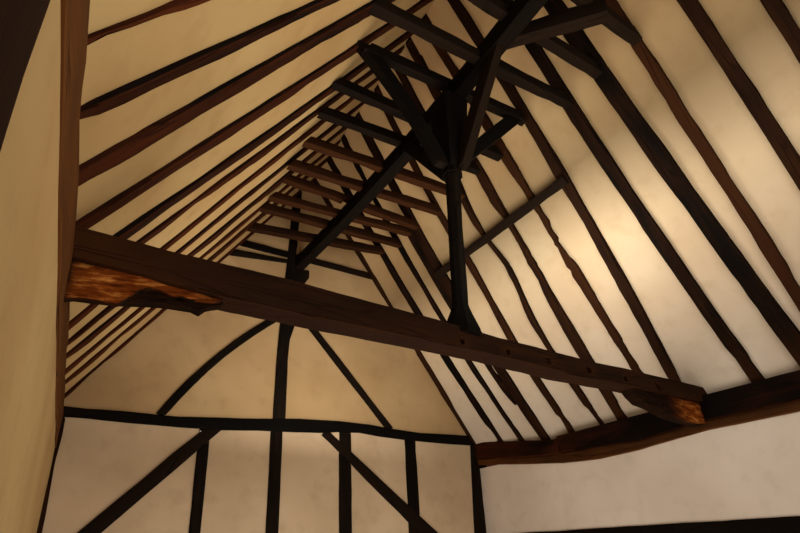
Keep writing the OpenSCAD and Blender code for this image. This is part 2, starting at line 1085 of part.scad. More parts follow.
// Roof covering and ridge
module covering(side) {
  low = -(eaves + out - soffit - skin_a) * slope;
  upright(near - verge, outer + verge)
    difference() {
      slope_band(rafter_depth, rafter_depth + cover_thickness, low, side);
    }
}

module left_roof_covering() {
  color("#8a4a34")
    covering(-1);
}

module right_roof_covering() {
  color("#8a4a34")
    covering(1);
}

module ridge_tiles() {
  a = (rafter_depth + cover_thickness) * sec / slope;
  z = (soffit + a) * slope;
  color("#7c3f2c")
    upright(near - verge, outer + verge)
      polygon([[0, z], [160, z - 160 * slope], [200, z - 160 * slope + 30], [70, z + 60], [0, z + 90],
        [-70, z + 60], [-200, z - 160 * slope + 30], [-160, z - 160 * slope]]);
}

left_sill();
right_sill();
end_sill();
left_corner_post();
right_corner_post();
left_wall_timbers();
right_wall_timbers();
left_wall_plaster();
right_wall_plaster();
left_wall_post();
right_wall_rail();
end_wall_mid_rail();
end_wall_studs();
end_wall_lower_braces();
end_wall_plaster();
end_tie_beam();
end_crown_post();
end_down_braces();
gable_collar_and_rail();
gable_plaster();
left_wall_plate();
right_plate_far_length();
right_plate_near_length();
right_plate_ledge();
tie_beam();
left_brace_stub();
right_brace_stub();
crown_post();
cross_braces();
purlin_braces();
collar_purlin();
collar_strut();
side_purlin();
left_rafters_far_bay();
right_rafters_far_bay();
doubling_rafter();
left_rafters_near_bay();
right_rafters_near_bay();
collars_far_bay();
collars_near_bay();
near_tie_beam();
near_crown_post();
near_braces();
left_roof_plaster();
right_roof_plaster();
left_roof_covering();
right_roof_covering();
ridge_tiles();
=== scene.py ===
# %% [markdown]
# # Two bays of a timber-framed hall, seen from inside
#
# The hall is a frame of oak timbers with plaster between them, open to a steep roof. The solids
# of every timber and panel come from a packed model, in metres, with the ground at zero. This
# lesson dresses them: it gives sawn solids the soft arrises and waves of old hewn oak, makes
# plaster a little uneven, lays the clay tiles, and writes the finishes as shader maths.
#
# The first cell loads that model and keeps its outer box, because nothing that is added may
# make the building bigger.

# %% Load the frame
import math
import random

import bmesh
import bpy
import numpy as np
from mathutils import Matrix, Vector, noise


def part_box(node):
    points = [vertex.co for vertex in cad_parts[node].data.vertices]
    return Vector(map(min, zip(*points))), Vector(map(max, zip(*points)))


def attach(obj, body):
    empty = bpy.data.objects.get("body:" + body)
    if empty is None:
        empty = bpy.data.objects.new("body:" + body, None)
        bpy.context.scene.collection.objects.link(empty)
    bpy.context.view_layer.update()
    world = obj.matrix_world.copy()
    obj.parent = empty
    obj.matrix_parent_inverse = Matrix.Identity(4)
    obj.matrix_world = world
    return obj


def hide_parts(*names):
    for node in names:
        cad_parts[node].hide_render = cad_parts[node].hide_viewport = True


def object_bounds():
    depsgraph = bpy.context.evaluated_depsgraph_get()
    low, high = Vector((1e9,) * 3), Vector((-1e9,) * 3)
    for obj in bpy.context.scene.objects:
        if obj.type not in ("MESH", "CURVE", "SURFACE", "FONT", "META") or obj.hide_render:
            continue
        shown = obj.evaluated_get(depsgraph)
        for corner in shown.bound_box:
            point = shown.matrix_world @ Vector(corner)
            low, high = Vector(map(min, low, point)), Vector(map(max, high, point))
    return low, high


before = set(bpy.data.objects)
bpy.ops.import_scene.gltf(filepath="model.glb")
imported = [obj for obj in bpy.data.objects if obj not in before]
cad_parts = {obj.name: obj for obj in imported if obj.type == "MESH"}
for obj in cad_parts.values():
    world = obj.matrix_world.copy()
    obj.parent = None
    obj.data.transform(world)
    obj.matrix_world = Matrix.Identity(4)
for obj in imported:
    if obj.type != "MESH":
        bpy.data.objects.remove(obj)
solid_low, solid_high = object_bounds()
print("timbers and panels:", len(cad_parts))
print("outer box in metres:", [round(a, 2) for a in solid_low], [round(a, 2) for a in solid_high])

# %% [markdown]
# The view is from near the left wall, a little under half way down the near bay, at standing
# height, looking up to the right. Three turns place such a camera: how far it looks to the
# right, how far up, and how much it leans. Their values came from fitting the straight timbers,
# so a camera made from three axes is simpler here than one that is aimed at a point. The shift
# moves the middle of the lens away from the middle of the picture, since the photograph is cut
# from a larger one. Both middles and the focal length are in points of the picture.

# %% Camera
picture_wide, picture_high = 800, 533
lens_middle_across, lens_middle_down = 373.23, 349.55
focal_points = 507.59
eye_place = (-2.666, -2.775, 1.498)
look_right, look_up, lean = (math.radians(a) for a in (30.746, 21.92, -1.512))


def show(name, data):
    """Put a camera, a lamp or a mesh into the scene."""
    made = bpy.data.objects.new(name, data)
    bpy.context.scene.collection.objects.link(made)
    return made


ahead = Vector((math.sin(look_right) * math.cos(look_up),
                math.cos(look_right) * math.cos(look_up), math.sin(look_up)))
level = Vector((math.cos(look_right), -math.sin(look_right), 0))
plumb = level.cross(ahead)
across = math.cos(lean) * level + math.sin(lean) * plumb
upward = -math.sin(lean) * level + math.cos(lean) * plumb
stand = Matrix((across, upward, -ahead)).transposed().to_4x4()
stand.translation = Vector(eye_place)
lens = bpy.data.cameras.new("eye")
lens.sensor_width = 36
lens.lens = focal_points / picture_wide * lens.sensor_width
lens.shift_x = (picture_wide / 2 - lens_middle_across) / picture_wide
lens.shift_y = (lens_middle_down - picture_high / 2) / picture_wide
lens.clip_start = 0.01
eye = show("eye", lens)
eye.matrix_world = stand
bpy.context.scene.camera = eye
print("eye height %.2f m, lens %.1f mm" % (stand.translation.z, lens.lens))

# %% [markdown]
# Shader maths reads best as plain sums. `Amount` wraps one socket, and its operators add the
# Math nodes, so `grain * 0.4 + 0.1` is a small node tree. The reflected forms let a number come
# first, as in `1 - crack`.

# %% Shader maths
class Amount:
    """One output of a node, for use in a sum."""
    def __init__(self, nodes, socket):
        self.nodes = nodes
        self.socket = socket

    def sum_of(self, operation, first, second):
        return self.nodes.node("ShaderNodeMath", {"operation": operation}, [first, second])

    def __add__(self, other):
        return self.sum_of("ADD", self, other)

    def __radd__(self, other):
        return self.sum_of("ADD", other, self)

    def __sub__(self, other):
        return self.sum_of("SUBTRACT", self, other)

    def __rsub__(self, other):
        return self.sum_of("SUBTRACT", other, self)

    def __mul__(self, other):
        return self.sum_of("MULTIPLY", self, other)

    def __rmul__(self, other):
        return self.sum_of("MULTIPLY", other, self)

    def most(self, other):
        return self.sum_of("MAXIMUM", self, other)


def shade(code):
    """A colour from its six web digits, as the linear values that a shader uses."""
    parts = [int(code[i:i + 2], 16) / 255 for i in (0, 2, 4)]
    return tuple(a / 12.92 if a <= 0.04045 else ((a + 0.055) / 1.055) ** 2.4
                 for a in parts) + (1.0,)

print("a mid cream in linear light:", [round(a, 3) for a in shade("d9bf8d")])

# %% [markdown]
# Every node comes from one method, `node`, which sets the node's own settings first and its
# sockets next. The sky has a node tree as a material does, so `Nodes` knows how to fill any
# tree, and `Finish` is the tree of a new material. A Math node would turn a colour grey, so
# colours are mixed by `mix` and points are stretched by `stretch`. `mark` reads a number that
# the mesh carries, and `seen` tells the rays that the camera sees from those that only light.

# %% Node trees
class Nodes:
    """A node tree, and the ways to add to it."""
    def __init__(self, tree):
        self.tree = tree

    def fill(self, socket, value):
        if isinstance(value, Amount):
            self.tree.links.new(value.socket, socket)
        else:
            socket.default_value = value

    def node(self, kind, settings=None, inputs=None, output=0):
        """Add a node. Its inputs are named, or listed in order."""
        made = self.tree.nodes.new(kind)
        for key, value in (settings or {}).items():
            setattr(made, key, value)
        named = inputs.items() if isinstance(inputs, dict) else enumerate(inputs or [])
        for key, value in named:
            self.fill(made.inputs[key], value)
        return Amount(self, made.outputs[output])

    def mix(self, factor, first, second, blend="MIX"):
        """Two colours mixed. The node's colour inputs are 6 and 7, and its colour output is 2."""
        return self.node("ShaderNodeMix", {"data_type": "RGBA", "blend_type": blend},
                         {0: factor, 6: first, 7: second}, output=2)

    def stretch(self, where, along, across):
        return self.node("ShaderNodeVectorMath", {"operation": "MULTIPLY"},
                         [where, (along, across, across)])

    def place(self):
        return self.node("ShaderNodeAttribute", {"attribute_name": "place"}, output="Vector")

    def mark(self, name):
        return self.node("ShaderNodeAttribute", {"attribute_name": name}, output="Fac")

    def clouds(self, where, scale, detail, rough):
        return self.node("ShaderNodeTexNoise", {}, {"Vector": where, "Scale": scale,
                                                    "Detail": detail, "Roughness": rough})

    def ramp(self, amount, low, high):
        return self.node("ShaderNodeMapRange", {},
                         {"Value": amount, "From Min": low, "From Max": high})

    def bump(self, height, strength):
        return self.node("ShaderNodeBump", {},
                         {"Height": height, "Distance": 1.0, "Strength": strength})

    def seen(self):
        camera_ray = self.node("ShaderNodeLightPath", output="Is Camera Ray")
        return camera_ray.most(self.node("ShaderNodeLightPath", output="Is Glossy Ray"))


class Finish(Nodes):
    """The node tree of a new material."""
    def __init__(self, name, roughness, gloss):
        self.material = bpy.data.materials.new(name)
        self.material.use_nodes = True
        super().__init__(self.material.node_tree)
        self.surface = self.tree.nodes["Principled BSDF"]
        self.dress(Roughness=roughness, Specular_IOR_Level=gloss)

    def dress(self, **sockets):
        for key, value in sockets.items():
            self.fill(self.surface.inputs[key.replace("_", " ")], value)
        return self.material

print("ways to add to a node tree:", [name for name in vars(Nodes) if name[0] != "_"])

# %% [markdown]
# A hall that is closed on three sides and above gets little of the sky, so it needs lamps of its
# own. Wide, soft, white area lamps keep the colours as they are written. One lies near the floor
# and faces up into the roof, one stands in the open near end, and two hang below the ties, one
# to a bay. The two small ones make the plaster a little brighter where the real room is
# brightest, low on the right slope and beside the left wall post. Each has its place, the point
# that it faces, its width in metres and its power in watts.
#
# The world lights the outside. What the camera sees of it, directly or in a gloss, is a plain
# pale grey of its own.

# %% Lamps and sky
def soft_lamp(name, place, aim, size, power):
    lamp = bpy.data.lights.new(name, "AREA")
    lamp.shape = "DISK"
    lamp.size = size
    lamp.energy = power
    holder = show(name, lamp)
    holder.location = place
    holder.rotation_euler = (Vector(aim) - Vector(place)).to_track_quat("-Z", "Y").to_euler()
    holder.visible_camera = False

soft_lamp("floor_lamp", (0.0, 0.8, 0.3), (0.0, 1.0, 6.0), 4.0, 70)
soft_lamp("gate_lamp", (0.0, -3.6, 2.6), (0.0, 2.0, 3.6), 3.0, 60)
soft_lamp("near_tie_lamp", (0.0, -1.5, 3.3), (0.0, -1.0, 6.0), 2.4, 38)
soft_lamp("far_tie_lamp", (0.0, 1.7, 3.0), (0.0, 2.2, 6.0), 2.4, 54)
soft_lamp("right_slope_lamp", (1.1, 0.0, 3.9), (1.95, 0.0, 4.5), 0.8, 13)
soft_lamp("left_post_lamp", (-1.7, -1.7, 3.0), (-2.95, -0.5, 3.2), 0.6, 5)

daylight_strength = 0.6
sky = bpy.data.worlds.new("sky")
sky.use_nodes = True
sky_nodes = Nodes(sky.node_tree)
daylight = sky.node_tree.nodes["Background"]
sky_nodes.fill(daylight.inputs["Color"], (1, 1, 1, 1))
sky_nodes.fill(daylight.inputs["Strength"], daylight_strength)
backdrop = sky_nodes.node("ShaderNodeBackground", {}, {"Color": (0.80, 0.795, 0.78, 1)})
both_skies = sky_nodes.node("ShaderNodeMixShader", {},
                            [sky_nodes.seen(), Amount(sky_nodes, daylight.outputs[0]), backdrop])
sky_nodes.fill(sky.node_tree.nodes["World Output"].inputs["Surface"], both_skies)
bpy.context.scene.world = sky
bpy.context.scene.view_settings.view_transform = "Standard"

# %% [markdown]
# Old oak indoors is nearly black in its hollows and red-brown where hands and air have worn it.
# Its figure runs along the timber, so the pattern needs to know which way each timber lies. Each
# carved timber therefore carries `place`, a point measured along and across itself, and the
# clouds are stretched along it. `tone` is one number for a whole timber, so that neighbours
# differ, and `worn` is high on the arrises. The mark of faces that look down paints them a
# lighter red-brown, as if lamps lit them from below: that is painted light. The mark of a lit end
# paints one end of a timber lighter and redder than the rest, as a pool of lamp light, and is
# nothing on all others. `rub` and `glow` say how much `worn` and the painted underside light
# count. The bump adds its heights in metres.

# %% Oak
def oak_finish(name, hollow, body, light, rub, glow):
    oak = Finish(name, roughness=0.8, gloss=0.05)
    where = oak.place()
    strands = oak.clouds(oak.stretch(where, 1.3, 26.0), 1.0, 6.0, 0.62)
    fine = oak.clouds(oak.stretch(where, 5.0, 150.0), 1.0, 3.0, 0.6)
    patches = oak.clouds(oak.stretch(where, 1.0, 3.5), 1.4, 3.0, 0.55)
    shakes = oak.node("ShaderNodeTexVoronoi", {"feature": "DISTANCE_TO_EDGE"},
                      {"Vector": oak.stretch(where, 0.9, 15.0), "Scale": 1.0})
    crack = 1.0 - oak.ramp(shakes, 0.0, 0.045)
    crack = crack * oak.ramp(patches, 0.46, 0.60)
    tone, worn, under, painted_end_light = (oak.mark(name) for name in ("tone", "worn", "under", "painted_end_light"))
    lift = oak.ramp(strands * 0.6 + patches * 0.5 + tone * 0.25, 0.42, 0.86)
    colour = oak.mix(lift, hollow, body)
    # Faces that look down and the lit end of the tie are painted lighter here: painted light.
    bare = (patches * 0.7 + strands * 0.3 + tone * 0.35
            + worn * rub + under * glow + painted_end_light * 0.3)
    colour = oak.mix(oak.ramp(bare, 0.62, 1.35), colour, light)
    colour = oak.mix(crack * 0.75, colour, hollow)
    colour = oak.mix(oak.ramp(fine, 0.35, 0.75) * 0.22, colour, hollow)
    height = strands * 0.006 + fine * 0.0015 - crack * 0.006
    rough = oak.ramp(strands, 0.2, 0.9) * 0.2 + 0.72
    return oak.dress(Base_Color=colour, Roughness=rough, Normal=oak.bump(height, 0.7))

black_oak = oak_finish("black_oak", shade("060402"), shade("0f0a05"), shade("22150a"), 0.25, 0.1)
dark_oak = oak_finish("dark_oak", shade("090502"), shade("170c05"), shade("3c1f0b"), 0.3, 0.2)
red_oak = oak_finish("red_oak", shade("090502"), shade("190b04"), shade("4d220b"), 0.35, 0.35)
# The lightest, brownest oak is painted lamp light.
lamp_lit_oak = oak_finish("lamp_lit_oak", shade("110803"), shade("2a170a"), shade("673c19"), 0.35, 0.35)
print("oak finishes:", black_oak.name, dark_oak.name, red_oak.name, lamp_lit_oak.name)

# %% [markdown]
# Lime plaster is a soft cream that is never quite one colour: the trowel leaves slow waves, and
# smoke and damp leave slightly browner clouds. Three sizes of cloud give the colour and the
# bump. Nothing is glossy. The right slope is painted a greyer cream at its foot and a deeper tan
# towards the ridge, as painted light and shade: pairs of a height in metres and a tint give what
# the cream is multiplied by. Out of doors every panel has the same limewash, washed thin by rain,
# and `outside` marks those faces.

# %% Plaster
def plaster_finish(name, pale, deep, stain, tints_by_height=()):
    plaster = Finish(name, roughness=0.9, gloss=0.15)
    where = plaster.place()
    broad = plaster.clouds(where, 0.9, 3.0, 0.5)
    mid = plaster.clouds(where, 5.0, 4.0, 0.55)
    grit = plaster.clouds(where, 90.0, 3.0, 0.6)
    colour = plaster.mix(plaster.ramp(broad, 0.3, 0.7), deep, pale)
    colour = plaster.mix(plaster.ramp(mid, 0.52, 0.78) * 0.35, colour, stain)
    colour = plaster.mix(plaster.ramp(grit, 0.55, 0.8) * 0.10, colour, stain)
    # Tints that change with height: painted light and shade.
    if tints_by_height:
        height_above = plaster.node("ShaderNodeSeparateXYZ", {}, [where], output="Z")
        tint = tints_by_height[0][1]
        for (below, _), (above, tint_above) in zip(tints_by_height, tints_by_height[1:]):
            tint = plaster.mix(plaster.ramp(height_above, below, above), tint, tint_above)
        colour = plaster.mix(1.0, colour, tint, "MULTIPLY")
    limewash = plaster.mix(plaster.ramp(broad * 0.6 + mid * 0.4, 0.35, 0.65),
                           shade("c9b48c"), shade("ded0ae"))
    colour = plaster.mix(plaster.mark("outside"), colour, limewash)
    height = broad * 0.012 + mid * 0.004 + grit * 0.0006
    return plaster.dress(Base_Color=colour, Normal=plaster.bump(height, 0.6))

# Painted light and shade on the right slope, given by height.
painted_shading_by_height = [(3.3, shade("f2f4ff")), (4.6, shade("ece4d8")),
         (5.3, shade("a89c86")), (6.4, shade("f4dcb8"))]
# One lime plaster in five creams, each painted darker or paler as the light and shade on its
# surfaces: darkest on the left slope, the left wall and the gable, palest on the right slope and
# the right wall.
left_plaster_painted_shading = plaster_finish("left_slope_plaster_painted_shading", shade("b5945f"), shade("a27d4c"), shade("8c683d"))
right_plaster_painted_shading = plaster_finish("right_slope_plaster_painted_shading", shade("e0cba8"), shade("d0b590"),
                             shade("b89a74"), painted_shading_by_height)
gable_plaster_painted_shading = plaster_finish("gable_plaster_painted_shading", shade("b59466"), shade("9f7d52"), shade("896946"))
end_plaster_painted_shading = plaster_finish("end_wall_plaster_painted_shading", shade("d2b48e"), shade("bb9d77"), shade("a28663"))
side_plaster_painted_shading = plaster_finish("side_wall_plaster_painted_shading", shade("ecdac4"), shade("d8c5ad"), shade("bfab93"))
print("plaster finishes:", left_plaster_painted_shading.name, right_plaster_painted_shading.name, gable_plaster_painted_shading.name, end_plaster_painted_shading.name,
      side_plaster_painted_shading.name)

# %% [markdown]
# Clay tiles come out of the kiln in many reds. `tone` is one number for a tile, and the clouds
# add the grey bloom and dark weathering of an old roof.

# %% Clay
def clay_finish(name):
    clay = Finish(name, roughness=0.86, gloss=0.25)
    where = clay.place()
    broad = clay.clouds(where, 1.1, 4.0, 0.6)
    mid = clay.clouds(where, 14.0, 5.0, 0.6)
    grit = clay.clouds(where, 160.0, 2.0, 0.6)
    colour = clay.mix(clay.mark("tone"), shade("7a3f2b"), shade("a85f3f"))
    colour = clay.mix(clay.ramp(mid, 0.5, 0.72) * 0.55, colour, shade("5b3a2c"))
    bloom = clay.ramp(broad * 0.7 + mid * 0.3, 0.5, 0.68)
    colour = clay.mix(bloom * 0.5, colour, shade("6f6452"))
    colour = clay.mix(clay.ramp(grit, 0.5, 0.8) * 0.2, colour, shade("40281e"))
    height = mid * 0.0015 + grit * 0.0005
    return clay.dress(Base_Color=colour, Normal=clay.bump(height, 0.8))

roof_clay = clay_finish("roof_clay")
print("clay finish:", roof_clay.name)

# %% [markdown]
# A packed solid arrives as flat triangles with knife-sharp edges. To carve it, each separate
# timber is taken out by itself, its flat faces are joined again, and the axis along which it is
# longest is found from its points. Then it can be cut into short lengths, and each ring of points
# can be moved a little. The faces are always gone through in their own order, never in the order
# of a Python set, so that every run gives the same shapes.

# %% Take a solid apart
same_point = 0.00005
flat_angle = math.radians(0.4)
steep = 0.7


def separate_timbers(node):
    """One bmesh for each loose timber of a node. They come in order down the hall, then across."""
    whole = bmesh.new()
    whole.from_mesh(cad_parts[node].data)
    bmesh.ops.remove_doubles(whole, verts=whole.verts, dist=same_point)
    bmesh.ops.dissolve_limit(whole, angle_limit=flat_angle, verts=whole.verts, edges=whole.edges)
    left = set(whole.faces)
    timbers = []
    for seed in whole.faces:
        if seed not in left:
            continue
        left.remove(seed)
        group = [seed]
        queue = [seed]
        while queue:
            for edge in queue.pop().edges:
                for other in edge.link_faces:
                    if other in left:
                        left.remove(other)
                        group.append(other)
                        queue.append(other)
        single = bmesh.new()
        copies = {}
        for face in group:
            for vert in face.verts:
                if vert not in copies:
                    copies[vert] = single.verts.new(vert.co)
        for face in group:
            single.faces.new([copies[v] for v in face.verts])
        bmesh.ops.recalc_face_normals(single, faces=single.faces)
        timbers.append(single)
    whole.free()
    timbers.sort(key=lambda b: tuple(round(sum(v.co[i] for v in b.verts) / len(b.verts), 4)
                                     for i in (1, 0, 2)))
    return timbers


def axes_of(solid):
    """Middle of a solid and its three axes, the longest first."""
    points = np.array([v.co[:] for v in solid.verts])
    middle = (points.max(axis=0) + points.min(axis=0)) / 2
    spread = np.cov((points - points.mean(axis=0)).T)
    values, vectors = np.linalg.eigh(spread)
    long_axis = Vector(vectors[:, int(np.argmax(values))])
    if long_axis[int(np.argmax(np.abs(long_axis)))] < 0:
        long_axis = -long_axis
    near_axis = Vector((0, 0, 1)) if abs(long_axis.z) < steep else Vector((0, 1, 0))
    second = long_axis.cross(near_axis).normalized()
    return Vector(middle), long_axis, second, long_axis.cross(second)

print("loose rafters on the left of the far bay:", len(separate_timbers("left_rafters_far_bay")))

# %% [markdown]
# Carving happens in this order. The arrises are rounded first, while the edges are still long
# and clean. Next come the cuts across the length, and one along each side so that a face can
# belly. Last, every point moves along its own normal by slow noise, and the points of the
# arrises sink further where a second noise says that bark was left or the edge was knocked. The
# same step writes the marks for the finish: `place`, `tone`, `worn`, and the mark of faces that
# look down, which the finish turns into painted underside light.
#
# How a timber was hewn is four lengths in metres: the roundness of its arrises, the distance
# between cuts, the height of the waves, and the depth of the knocks.

# %% Carve timbers
knife_gap = 0.0004
arris_angle = math.radians(22)
worn_angle = math.radians(25)
widest_to_belly = 0.6
cut_jitter = 0.18
bark_level, chip_level = 0.05, 0.25
seed_step = 0.73


def held(value):
    """The value, kept between 0 and 1."""
    return max(0.0, min(1.0, value))


def slice_across(solid, at, way):
    """Cut the faces along the plane through `at` that is square to `way`. Both sides stay."""
    bmesh.ops.bisect_plane(solid, geom=solid.verts[:] + solid.edges[:] + solid.faces[:],
                           dist=knife_gap, plane_co=at, plane_no=way)


def split_wide_faces(solid):
    """Turn faces of more than four corners into triangles, and find the normals again."""
    bmesh.ops.triangulate(solid, faces=[f for f in solid.faces if len(f.verts) > 4])
    solid.normal_update()


def ripple(spot, along, across, shift):
    """Smooth noise whose waves are longer along the timber than across it."""
    return noise.noise(Vector((spot.x * along, spot.y * across, spot.z * across)) + shift)


def own_number(seed):
    """A number from 0 to 1 that looks random, and is always the same for one seed."""
    return (math.sin(seed * 12.9898) * 43758.5453) % 1.0


def carve(solid, seed, arris, step, wave, knocks):
    """Round the arrises of a timber, cut it across, and move its points by slow noise."""
    middle, long_axis, second, third = axes_of(solid)
    edges = [e for e in solid.edges
             if len(e.link_faces) == 2 and e.calc_face_angle(0) > arris_angle]
    bmesh.ops.bevel(solid, geom=edges, offset=arris, offset_type="OFFSET", segments=2,
                    profile=0.5, affect="EDGES", clamp_overlap=True)
    worn = solid.verts.layers.float.new("worn")
    for vert in solid.verts:
        around = [f.normal for f in vert.link_faces]
        sharp = max((a.angle(b, 0) for a in around for b in around), default=0)
        vert[worn] = 1.0 if sharp > worn_angle else 0.0
    spans = [(v.co - middle).dot(long_axis) for v in solid.verts]
    first, last = min(spans), max(spans)
    rings = max(1, int((last - first) / step))
    for i in range(1, rings):
        along = first + (last - first) * (i + cut_jitter * math.sin(seed + 2.1 * i)) / rings
        slice_across(solid, middle + long_axis * along, long_axis)
    for axis in (second, third):
        reach = [(v.co - middle).dot(axis) for v in solid.verts]
        if max(reach) - min(reach) < widest_to_belly:
            slice_across(solid, middle + axis * (max(reach) + min(reach)) / 2, axis)
    split_wide_faces(solid)
    # Faces that look down are marked, and the finish paints them lighter: painted underside light.
    under = solid.faces.layers.float.new("under")
    for face in solid.faces:
        face[under] = held(-1.6 * face.normal.z - 0.15)
    place = solid.verts.layers.float_vector.new("place")
    tone = solid.verts.layers.float.new("tone")
    own = own_number(seed)
    shift = Vector((own * 37.0, own * 11.0, seed * 1.7))
    moves = []
    for vert in solid.verts:
        local = Vector([(vert.co - middle).dot(axis) for axis in (long_axis, second, third)])
        slow = ripple(local, 1.7, 4.0, shift)
        quick = ripple(local, 7.0, 14.0, shift * 1.3)
        move = wave * (0.15 + slow + 0.45 * quick)
        if vert[worn] > 0.5:
            bark = ripple(local, 2.3, 3.0, shift * 2.1)
            chip = ripple(local, 11.0, 9.0, shift * 0.7)
            move -= knocks * (max(0.0, bark - bark_level) * 1.6 + max(0.0, chip - chip_level))
        moves.append(vert.normal * move)
        vert[place] = local + shift
        vert[tone] = own
    for vert, move in zip(solid.verts, moves):
        vert.co += move
        vert.co.z = max(vert.co.z, 0.0)
    return solid


def carve_all(solids, seed, hewing):
    return [carve(solid, seed + seed_step * i, **hewing) for i, solid in enumerate(solids)]

print("an arris turns by more than %.0f degrees" % math.degrees(arris_angle))

# %% [markdown]
# The carved timbers of a node become one mesh, so that each piece of the scene is one named part
# of the building. Faces are smooth, and an edge stays crisp only where it turns sharply. The
# piece then gets its finish, rides on the building, and stands for its packed solids.

# %% Join and settle
crisp_angle = math.radians(38)


def join_solids(name, solids):
    """One mesh object from many small ones, with their marks kept."""
    mesh = bpy.data.meshes.new(name)
    whole = bmesh.new()
    for solid in solids:
        part = bpy.data.meshes.new("part")
        solid.to_mesh(part)
        whole.from_mesh(part)
        bpy.data.meshes.remove(part)
        solid.free()
    for face in whole.faces:
        face.smooth = True
    for edge in whole.edges:
        edge.smooth = not (len(edge.link_faces) == 2 and edge.calc_face_angle(0) > crisp_angle)
    whole.to_mesh(mesh)
    whole.free()
    return show(name, mesh)


def settle(piece, finish, slot, *nodes):
    """Give a piece its finish, let it ride on the building and stand for its solids."""
    piece.data.materials.clear()
    piece.data.materials.append(finish)
    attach(piece, "root")
    if nodes:
        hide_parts(*nodes)
    piece.data.calc_loop_triangles()
    print("%-24s %7d triangles" % (piece.name, len(piece.data.loop_triangles)))


def carve_node(node, finish, seed, hewing):
    solids = carve_all(separate_timbers(node), seed, hewing)
    settle(join_solids("carved_" + node, solids), finish, "oak", node)

print("an edge is crisp where it turns by more than %.0f degrees" % math.degrees(crisp_angle))

# %% [markdown]
# The rafters and collars are the thinnest timbers and the most wavy. The ties, plates and posts
# are larger, so their arrises are rounder and their waves slower.
#
# Some rafters on the right of the far bay wander more than one bow can say, or lost wood from one
# edge where a branch once left the trunk. `wanderers` has a row for each: its foot, head and bow,
# then three lists of a height above the plate and a move along the hall, for the whole rafter,
# its near edge and its far edge. The move fades out before the next rafter, and the plaster
# between the rafters moves by the same rule, so that no gap opens. Two of them are also ragged
# half way up, so they are cut finer and get a quick noise there.

# %% Rafters
plate_top = 2.96
rafter_rise = 4.293
fade_end, fade_long = 0.30, 0.20
edge_blend = 0.06
still = [(0.0, 0.0)]
wanderers = [
    ((1.204, 1.105, 0.065),
     [(0.0, 0.020), (0.9, 0.045), (1.3, 0.030), (1.5, -0.005), (1.7, -0.045), (1.9, -0.050),
      (2.1, -0.012), (2.3, 0.030), (2.5, 0.025), (2.7, 0.005), (3.0, -0.060), (3.4, -0.090),
      (4.3, -0.090)],
     [(0.7, 0.0), (1.0, 0.022), (1.6, 0.022), (1.9, 0.0)],
     [(1.7, 0.0), (1.95, -0.030), (2.3, -0.030), (2.5, 0.0)]),
    ((1.680, 1.473, 0.112),
     [(0.0, 0.0), (1.0, 0.012), (1.4, 0.0), (1.7, -0.015), (1.9, -0.031), (2.1, -0.035),
      (2.4, -0.015), (2.8, 0.0)], still, still),
    ((0.910, 0.690, 0.045), still, still,
     [(1.45, 0.0), (1.6, -0.040), (1.8, -0.030), (1.9, -0.045), (2.3, -0.045), (2.5, 0.0)]),
    ((0.440, 0.380, 0.004), still,
     [(1.55, 0.0), (1.7, 0.025), (1.85, 0.040), (2.0, 0.030), (2.05, 0.005), (2.15, 0.025),
      (2.3, 0.010), (2.5, 0.0)], still)]


def wander(spot):
    """How far a point of the right slope moves along the hall."""
    if spot.x < 0 or spot.z < plate_top:
        return 0.0
    up = spot.z - plate_top
    part = up / rafter_rise
    total = 0.0
    for (foot, head, bow), *tables in wanderers:
        middle = foot + (head - foot) * part + 4 * bow * part * (1 - part)
        close = held((fade_end - abs(spot.y - middle)) / fade_long)
        far_side = held(0.5 + (spot.y - middle) / edge_blend)
        whole, near_edge, far_edge = (float(np.interp(up, *zip(*table))) for table in tables)
        total += close * (whole + near_edge * (1 - far_side) + far_edge * far_side)
    return total

rafter_hewing = dict(arris=0.009, step=0.13, wave=0.011, knocks=0.024)
for i, node in enumerate(["left_rafters_far_bay", "left_rafters_near_bay"]):
    carve_node(node, red_oak, 3.0 + 9.1 * i, rafter_hewing)
carve_node("right_rafters_near_bay", dark_oak, 30.3, rafter_hewing)

ragged_rafters = (1, 2)
ragged_height, ragged_reach, ragged_deep = 1.85, 0.35, 0.025
coarse_step, fine_step = 0.10, 0.05
wavy = separate_timbers("right_rafters_far_bay")
for i, solid in enumerate(wavy):
    step = fine_step if i in ragged_rafters else coarse_step
    carve(solid, 12.1 + seed_step * i, arris=0.009, step=step, wave=0.014, knocks=0.040)
    for vert in solid.verts:
        away = abs(vert.co.z - plate_top - ragged_height)
        ragged = max(0.0, 1.0 - away / ragged_reach) if i in ragged_rafters else 0.0
        jog = noise.noise(Vector((5.0 * i, 16.0 * vert.co.z, 9.0 * vert.co.y)))
        vert.co.y += wander(vert.co) + ragged_deep * ragged * jog
settle(join_solids("carved_right_rafters_far_bay", wavy), dark_oak, "oak", "right_rafters_far_bay")

# %% [markdown]
# The far collars were let in by eye, so each has its own height and tilt. The packed solids are
# nearly level, and two numbers set each one right: a lift, and a tilt along the collar. The
# rafter that is doubled has a collar of its own, which is a copy of the one before it, a little
# farther down the hall and thinner. The three collars nearest the middle truss are blacker than
# the rest, as is all of the truss.

# %% Collars
def retilt(solid, lift, tilt, onward=0.0, thin=1.0):
    """Move the points of a collar up by lift + tilt * x, and down the hall by `onward`."""
    base = min(v.co.z for v in solid.verts)
    for vert in solid.verts:
        vert.co.z = base + (vert.co.z - base) * thin + lift + tilt * vert.co.x
        vert.co.y += onward
    return solid

